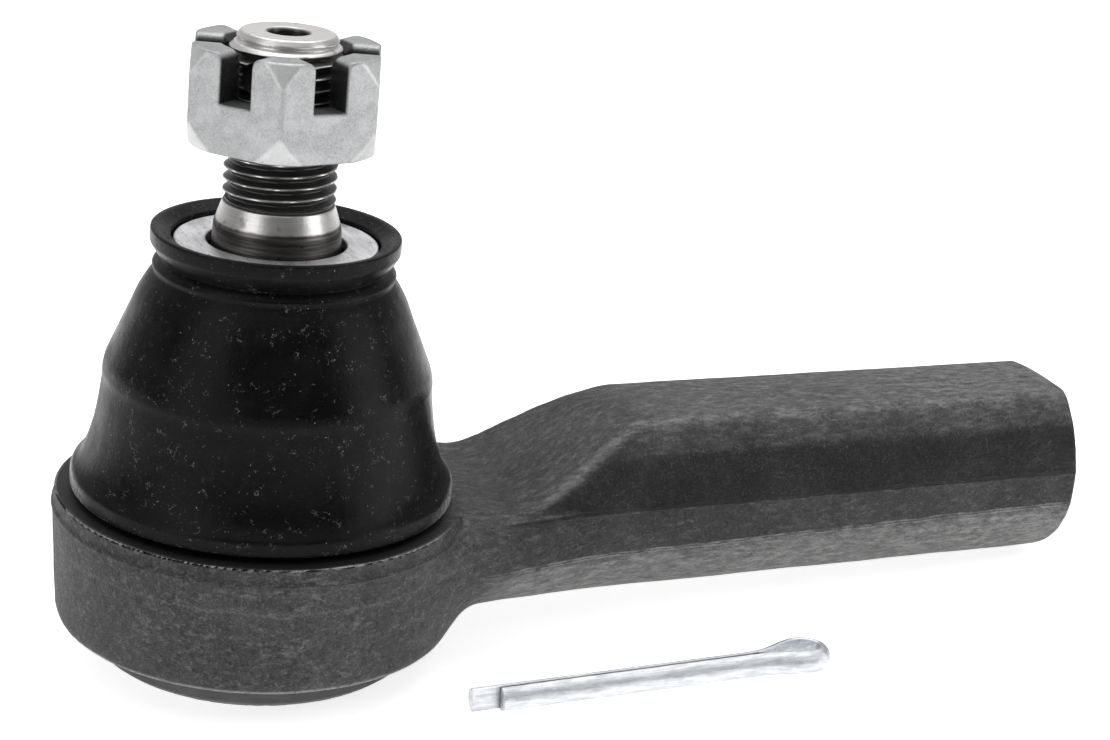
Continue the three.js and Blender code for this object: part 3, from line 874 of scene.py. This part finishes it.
def rod_bore(x, y, z):
    """The threaded hole in the shank's end, with a chamfered mouth."""
    across = z - ROD_AXIS_Z
    turn = np.arctan2(across, y) / (2 * math.pi)
    phase = np.abs(((x / ROD_PITCH - turn) % 1.0) - 0.5) * 2
    thread = 0.45 * np.clip(phase * 1.3 - 0.15, 0, 1)
    mouth = np.maximum(x - (SHANK_END_X - 1.2), 0)
    radius = np.maximum(ROD_BORE_R + thread, ROD_BORE_R - 0.4 + mouth)
    return np.maximum(np.hypot(y, across) - radius, ROD_BORE_START_X - x)


def in_rod_bore(x, y, z):
    """1 within the thread's reach of the bore's axis."""
    return (np.hypot(y, z - ROD_AXIS_Z) < ROD_BORE_R + 1.4).astype(float)


def housing_field(x, y, z):
    """Body and shank joined, cut by the top, hammered, faced, then collared and bored."""
    radius = np.hypot(x, y)
    body = BODY(radius, z) - flash(z + 0.1) * (radius > 20)
    shank = soft_max(shank_sides(x, y, z), 4.0 - x, 1.0)
    fillet = np.interp(smooth_step(z, *NECK_FILLET_Z), (0, 1), NECK_FILLET)
    made = soft_min(body, shank, fillet)
    made = soft_max(made, forging_top(x, y, z), 0.35 + 0.55 * smooth_step(x, 21.0, 27.0))
    hammered = smooth_step(z, FOOT_Z - 0.1, FOOT_Z + 1.0) * (radius > 18)
    made = made - hammered * waves(x, y, z)
    faced = np.maximum(radius - FACING_R, TOP_FACE_Z - z)
    made = soft_max(made, -faced, 0.25)
    made = np.where((z < FOOT_Z + 0.05) & (radius < FACING_R), soft_max(made, body, 0.2), made)
    made = soft_min(made, COLLAR(radius, z), 0.2)
    made = soft_max(made, -BALL_BORE(radius, z), 0.1)
    made = soft_max(made, x - SHANK_END_X, 0.9)
    return soft_max(made, -rod_bore(x, y, z), 0.15)


def build_housing(look):
    marks = {"edge": shank_edge, "bore": in_rod_bore}
    made = net("housing_forging", housing_field, HOUSING_LOW, HOUSING_HIGH, NET_STEP, look, marks)
    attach(made, "housing")
    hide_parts("housing")


# ---- parts inside and under the housing ----
def sphere_arc(radius, from_z, to_z, steps):
    """Outline corners along a sphere round the ball's centre, between two heights."""
    start = math.asin((from_z - BALL_Z) / radius)
    end = math.asin((to_z - BALL_Z) / radius)
    angles = np.linspace(start, end, steps)
    return [(radius * math.cos(a), BALL_Z + radius * math.sin(a), 0) for a in angles]


def build_cover_plate(look):
    outline = [
        (0, BASE_Z + 0.05, 0), (6.3, BASE_Z + 0.05, 1.0), (8.5, 1.0, 1.0), (14.6, 1.0, 0.3),
        (14.6, 2.6, 0.3), (8.0, 2.6, 1.0), (6.0, 1.75, 1.0), (0, 1.75, 0),
    ]
    made = turned("cover_plate_pressing", outline, look)
    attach(made, "housing")
    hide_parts("cover_plate")


def build_disc_spring(look):
    outline = [(6.5, 3.6, 0.15), (13.5, 2.9, 0.15), (13.6, 3.55, 0.15), (6.6, 4.3, 0.15)]
    made = turned("disc_spring_cone", outline, look)
    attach(made, "housing")
    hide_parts("disc_spring")


def build_seats(look):
    lower = [
        (5.0, 4.6, 0.2), (12.2, 4.6, 0.4), (13.7, 6.1, 0.4), (13.7, 14.0, 0.2),
        *sphere_arc(12.25, 14.0, 5.85, 14),
    ]
    upper = [
        (13.7, 14.3, 0.2), *sphere_arc(13.7, BALL_Z, 25.9, 12), *sphere_arc(12.25, 23.9, 14.3, 14),
    ]
    for name, node, outline in (
        ("lower_seat_cup", "lower_ball_seat", lower),
        ("upper_seat_ring", "upper_ball_seat", upper),
    ):
        made = turned(name, outline, look)
        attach(made, "housing")
        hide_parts(node)


def build_retaining_ring(look):
    outline = [(16.5, 18.6, 0.2), (18.9, 18.6, 0.3), (18.9, 20.3, 0.3), (16.5, 20.5, 0.2)]
    made = turned("boot_grip_ring", outline, look)
    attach(made, "housing")
    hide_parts("boot_retaining_ring")


# ---- boot and its washer ----
def build_boot(look):
    flange_z = BOOT_LOW[2]
    rim_z = BOOT_HIGH[2]
    skirt = [
        (20.5, flange_z, 0.15), (20.5, flange_z + 1.6, 0.4), (19.7, 21.0, 0.8), (19.15, 22.0, 1.0),
        (18.5, 24.0, 1.5), (18.05, 26.0, 1.5), (17.75, 28.0, 1.5), (17.45, 30.6, 0.4),
        (17.5, 31.3, 0.3), (17.3, 32.4, 0.4), (16.55, 34.2, 1.5), (15.7, 36.2, 1.5),
        (14.85, 38.2, 1.5), (14.2, 39.9, 1.0), (13.2, 41.6, 0.5), (12.6, 42.3, 0.08),
        (12.85, 42.9, 0.3), (12.45, 43.4, 0.3), (11.95, 43.75, 0.1), (12.55, 44.55, 0.4),
        (13.1, 45.45, 0.2), (13.1, rim_z, 0.25),
    ]
    mouth = [
        (12.4, rim_z, 0.3), (11.4, 46.3, 0.3), (10.95, 46.1, 0.2), (10.95, WASHER_LOW[2] - 0.3, 0.1),
        (8.6, WASHER_LOW[2] - 0.3, 0.2), (8.6, 43.0, 0.4), (10.8, 42.2, 0.6),
    ]
    inside = [
        (13.0, 38.0, 1.5), (14.5, 34.0, 1.5), (15.4, 30.4, 1.5), (15.9, 27.0, 1.5),
        (16.5, 22.4, 0.5), (16.5, 21.0, 0.1), (19.2, 20.6, 0.1), (19.2, flange_z, 0.1),
    ]
    made = turned("dust_boot_skin", [*skirt, *mouth, *inside], look, longest=0.8)
    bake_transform(made)
    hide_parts("dust_boot")


def build_washer(look):
    low, high = WASHER_LOW[2], WASHER_HIGH[2]
    outline = [(7.35, low, 0.1), (10.7, low, 0.25), (10.7, high, 0.3), (7.35, high, 0.3)]
    made = turned("boot_washer_disc", outline, look)
    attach(made, "washer")
    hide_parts("boot_washer")


# ---- ball stud ----
def stud_thread(radius, height, angle):
    """Cuts the helix into the straight upper part of the stud."""
    phase = (height / THREAD_PITCH - angle / (2 * math.pi)) % 1.0
    ridge = np.clip((1 - np.abs(phase - 0.5) * 2) * 1.2 - 0.15, 0, 1)
    crest = THREAD_R - THREAD_DEPTH + THREAD_DEPTH * ridge
    threaded = (height > THREAD_Z[0] + 0.2) & (height < STUD_TOP_Z - 1.3) & (radius > 4.9)
    return np.where(threaded, np.minimum(radius, crest), radius)


def build_stud(look):
    top = STUD_TOP_Z
    neck_z = BALL_Z + math.sqrt(BALL_R**2 - 5.8**2)
    outline = [
        (0, 5.25, 0), *sphere_arc(BALL_R, 5.25, neck_z, 26), (5.8, neck_z + 1.2, 0.8),
        (7.6, 33.5, 1.0), (6.66, 47.6, 0.1), (5.85, 50.0, 0.1), (5.6, 50.1, 0.05),
        (5.6, 50.35, 0.05), (5.95, 50.6, 0.05), (5.95, top - 1.7, 0.05), (5.5, top - 1.25, 0.1),
        (5.05, top - 1.1, 0.1), (5.05, top - 0.9, 0.1), (5.3, top - 0.65, 0.15), (4.85, top, 0.2),
        (2.35, top, 0.1), (2.1, top - 0.35, 0.1), (1.8, top - 3.2, 0), (0, top - 4.2, 0),
    ]
    made = turned("ball_stud_shaft", outline, look, stud_thread, longest=0.12)
    bore_cotter_hole(made)
    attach(made, "stud")
    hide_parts("ball_stud")


def bore_cotter_hole(stud):
    """Drills across the stud, just above the floors of the nut's slots."""
    centre = Vector((0, 0, NUT_BASE_Z + SLOT_FLOOR + COTTER_HOLE_R + 0.4)) * MM
    bpy.ops.mesh.primitive_cylinder_add(
        vertices=48, radius=COTTER_HOLE_R * MM, depth=30 * MM, location=centre
    )
    drill = bpy.context.object
    drill.rotation_euler = (math.pi / 2, 0, COTTER_HOLE_TURN - math.pi / 2)
    bpy.context.view_layer.update()
    cut = stud.modifiers.new("cotter_hole", "BOOLEAN")
    cut.operation = "DIFFERENCE"
    cut.object = drill
    cut.solver = "EXACT"
    bpy.context.view_layer.objects.active = stud
    bpy.ops.object.modifier_apply(modifier=cut.name)
    bpy.data.objects.remove(drill)
    stud.data.set_sharp_from_angle(angle=math.radians(32))


# ---- slotted nut ----
def nut_cones(radius, up):
    """The turned cones that cut the nut's corners above and below."""
    above = (radius - 10.05) * 0.944 + (up - NUT_HEIGHT) * 0.329
    below = (radius - 9.9) * 0.937 - up * 0.35
    return np.maximum(above, below)


def nut_corner(x, y, z):
    """1 on the coned corners of the nut and 0 on its flats."""
    return smooth_step(nut_cones(np.hypot(x, y), z - NUT_BASE_Z), -0.16, -0.04)


def across_slot(x, y, k):
    """Distance from the walls of one of the three slots, negative between them."""
    angle = NUT_TURN + k * math.pi / 3
    return np.abs(y * math.cos(angle) - x * math.sin(angle)) - SLOT_WIDTH / 2


def nut_slot_shade(x, y, z):
    """1 on the walls of the slots and in the bore, where shade is painted."""
    walls = np.minimum.reduce([across_slot(x, y, k) for k in range(3)])
    above_floor = smooth_step(z - NUT_BASE_Z - SLOT_FLOOR, -0.15, 0.1)
    in_slots = smooth_step(-walls, -0.25, 0.0) * above_floor
    return np.maximum(in_slots, smooth_step(-np.hypot(x, y), -7.1, -6.8))


def nut_sides(x, y):
    """The nut's six flats, as three pairs."""
    turns = [NUT_TURN + k * math.pi / 3 for k in range(3)]
    pairs = [np.abs(x * math.cos(a) + y * math.sin(a)) - NUT_FLATS / 2 for a in turns]
    return soft_max(soft_max(pairs[0], pairs[1], 0.35), pairs[2], 0.35)


def nut_field(x, y, z):
    """Flats and coned corners, cut by the slots and by the threaded bore."""
    up = z - NUT_BASE_Z
    radius = np.hypot(x, y)
    made = soft_max(nut_sides(x, y), -up, 0.3)
    made = soft_max(made, nut_cones(radius, up), 0.12)
    top = up - NUT_HEIGHT
    for k in range(3):
        slot = soft_max(across_slot(x, y, k), SLOT_FLOOR - up, 0.25)
        top = soft_max(top, -slot, 1.1)
    made = soft_max(made, top, 0.3)
    phase = np.abs(((z / THREAD_PITCH - np.arctan2(y, x) / (2 * math.pi)) % 1.0) - 0.5) * 2
    bore = radius - 6.15 - 0.4 * np.clip(phase * 1.3 - 0.15, 0, 1)
    mouth = radius - 6.15 - np.maximum(0.9 - np.minimum(up, NUT_HEIGHT - up), 0)
    return soft_max(made, -np.minimum(bore, mouth), 0.15)


def build_nut(look):
    marks = {"corner": nut_corner, "slot_shade": nut_slot_shade}
    made = net("castle_nut_zinc", nut_field, NUT_LOW, NUT_HIGH, FINE_STEP, look, marks)
    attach(made, "nut")
    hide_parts("castle_nut")


# ---- split pin ----
def pin_path():
    """The wire's inner face, from the long leg's tip round the eye to the short leg's tip."""
    eye = [
        (-3.2, 0.1), (-1.6, 0.35), (0.0, 0.95), (1.5, 1.6), (3.0, 1.95), (4.2, 1.6), (4.9, 0.6),
        (4.6, -0.5), (3.6, -0.95), (2.2, -0.9), (0.8, -0.6), (-0.8, -0.25),
    ]
    bend = spline([(-5.0, PIN_GAP / 2), *eye, (-3.2, -0.1), (-5.0, -PIN_GAP / 2)], 6)
    long_leg = [(x, PIN_GAP / 2) for x in np.linspace(-PIN_LONG_LEG, -3.7, 40)]
    short_leg = [(x, -PIN_GAP / 2) for x in np.linspace(-3.7, -PIN_SHORT_LEG, 36)]
    return np.array([*long_leg, *bend, *short_leg])


def spline(points, steps):
    """A Catmull-Rom curve through the inner points."""
    p = np.array(points, float)
    made = []
    for a, b, c, d in zip(p[:-3], p[1:-2], p[2:-1], p[3:]):
        square = 2 * a - 5 * b + 4 * c - d
        cube = 3 * b - a - 3 * c + d
        for t in np.linspace(0, 1, steps, endpoint=False):
            made.append(0.5 * (2 * b + (c - a) * t + square * t**2 + cube * t**3))
    return [*made, p[-2]]


def pin_section():
    """Offsets (outward, upright) round the half-round wire, and which are on its flat side."""
    arc = np.linspace(PIN_EDGE, math.pi - PIN_EDGE, 17)
    round_side = [(PIN_R * math.sin(a), PIN_R * math.cos(a)) for a in arc]
    flat_side = [(0.0, v) for v in np.linspace(-0.92 * PIN_R, 0.92 * PIN_R, 7)]
    section = np.array([*round_side, *flat_side])
    return section, np.arange(len(section)) >= len(round_side)


def swept(path, section):
    """Points and faces of a section carried along a level path, with both ends closed."""
    along = np.gradient(path, axis=0)
    along /= np.linalg.norm(along, axis=1)[:, None]
    outward = np.stack([-along[:, 1], along[:, 0]], 1)
    points = [
        (*(here + out * offset), upright)
        for here, out in zip(path, outward)
        for offset, upright in section
    ]
    sides = len(section)
    faces = [
        (i + k, i + sides + k, i + sides + (k + 1) % sides, i + (k + 1) % sides)
        for i in range(0, (len(path) - 1) * sides, sides)
        for k in range(sides)
    ]
    faces.append(tuple(range(sides)))
    faces.append(tuple(reversed(range((len(path) - 1) * sides, len(path) * sides))))
    return np.array(points), faces


def build_pin(look):
    path = pin_path()
    section, on_flat = pin_section()
    local, faces = swept(path, section)
    place = Matrix.Rotation(PIN_HEADING, 3, "Z") @ Matrix.Rotation(REST_SLOPE, 3, "Y")
    world = (local + (PIN_LONG_LEG, 0, PIN_R)) @ np.array(place).T + np.array(PIN_TIP)
    made = add_mesh("cotter_pin_wire", world, faces, look)
    # The flat faces where the legs lie together carry the painted seam shade.
    shut = (path[:, 0] > -PIN_SHORT_LEG - 0.05) & (path[:, 0] < PIN_EYE_START)
    seam_shade = made.data.attributes.new("seam_shade", "FLOAT", "POINT")
    seam_shade.data.foreach_set("value", np.outer(shut, on_flat).astype(np.float32).ravel())
    weld(made)
    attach(made, "pin")
    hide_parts("cotter_pin")


# ---- studio ----
CAMERA_PLACE = (-75.7, -225.4, 115.4)
CAMERA_TURN = (-25.89, 18.92, 5.72)  # azimuth, elevation and roll in degrees
CAMERA_LENS = 76.2
LIT_SIDE = (0.1, 0.8, 0.59)  # direction of the brightest part of the room


def add_camera():
    """Seen from the stud's side, a little above, with the frame rolled as it was held."""
    azimuth, elevation, roll = (math.radians(a) for a in CAMERA_TURN)
    back = Vector((
        math.sin(azimuth) * math.cos(elevation),
        -math.cos(azimuth) * math.cos(elevation),
        math.sin(elevation),
    ))
    right = (-back).cross(Vector((0, 0, 1))).normalized()
    up = back.cross(right)
    held_right = right * math.cos(roll) + up * math.sin(roll)
    held_up = up * math.cos(roll) - right * math.sin(roll)
    data = bpy.data.cameras.new("camera")
    data.lens = CAMERA_LENS
    data.sensor_width = 36
    data.clip_start, data.clip_end = 0.01, 20
    camera = bpy.data.objects.new("camera", data)
    turn = Matrix((held_right, held_up, back)).transposed().to_4x4()
    camera.matrix_world = Matrix.Translation(Vector(CAMERA_PLACE) * MM) @ turn
    bpy.context.scene.collection.objects.link(camera)
    bpy.context.scene.camera = camera


def add_floor():
    """The surface that the part rests on: the rolled lip and the shank's end both touch it."""
    size = 3.0
    mesh = bpy.data.meshes.new("floor")
    corners = [(-size, -size, 0), (size, -size, 0), (size, size, 0), (-size, size, 0)]
    mesh.from_pydata(corners, [], [(0, 1, 2, 3)])
    floor = bpy.data.objects.new("floor", mesh)
    floor.location = Vector((16.9, 0, -0.05)) * MM
    floor.rotation_euler = (0, REST_SLOPE, 0)
    mesh.materials.append(floor_paint())
    bpy.context.scene.collection.objects.link(floor)


def add_light(name, place, size, watts, aim=(30, 0, 25)):
    """A soft rectangle of light, its place and aim in millimetres and its size in metres."""
    data = bpy.data.lights.new(name, "AREA")
    data.shape = "RECTANGLE"
    data.size, data.size_y = size
    data.energy = watts
    light = bpy.data.objects.new(name, data)
    light.location = Vector(place) * MM
    light.rotation_mode = "QUATERNION"
    light.rotation_quaternion = (Vector(place) - Vector(aim)).to_track_quat("Z", "Y")
    bpy.context.scene.collection.objects.link(light)


def add_world():
    """White above and behind, dark behind the camera, as in a room with one lit table."""
    world = bpy.data.worlds.new("studio")
    bpy.context.scene.world = world
    world.use_nodes = True
    tree = world.node_tree
    background = tree.nodes["Background"]
    coordinates = tree.nodes.new("ShaderNodeTexCoord")
    toward = tree.nodes.new("ShaderNodeVectorMath")
    toward.operation = "DOT_PRODUCT"
    toward.inputs[1].default_value = LIT_SIDE
    ramp = tree.nodes.new("ShaderNodeValToRGB")
    tree.links.new(coordinates.outputs["Generated"], toward.inputs[0])
    tree.links.new(toward.outputs["Value"], ramp.inputs[0])
    tree.links.new(ramp.outputs[0], background.inputs[0])
    ramp.color_ramp.elements[0].position = 0.05
    ramp.color_ramp.elements[0].color = (0.06, 0.06, 0.062, 1)
    ramp.color_ramp.elements[1].position = 0.8
    ramp.color_ramp.elements[1].color = (1, 1, 1, 1)
    background.inputs["Strength"].default_value = 0.6


def build():
    forged = forged_steel()
    plate = plate_steel()
    spring = spring_steel()
    build_housing(forged)
    build_cover_plate(plate)
    build_disc_spring(spring)
    build_seats(seat_polymer())
    build_retaining_ring(spring)
    build_boot(boot_rubber())
    build_washer(plate)
    build_stud(turned_steel())
    build_nut(zinc_plate())
    build_pin(zinc_wire())
    add_camera()
    add_floor()
    add_world()
    add_light("overhead", (40, 80, 520), (0.6, 0.5), 1.9)
    add_light("left", (-420, -160, 260), (0.3, 0.5), 0.8)
    add_light("front", (-60, -420, 520), (0.55, 0.2), 0.35)
    add_light("right", (420, -260, 200), (0.25, 0.45), 0.9)
    bpy.context.scene.view_settings.view_transform = "Standard"


build()
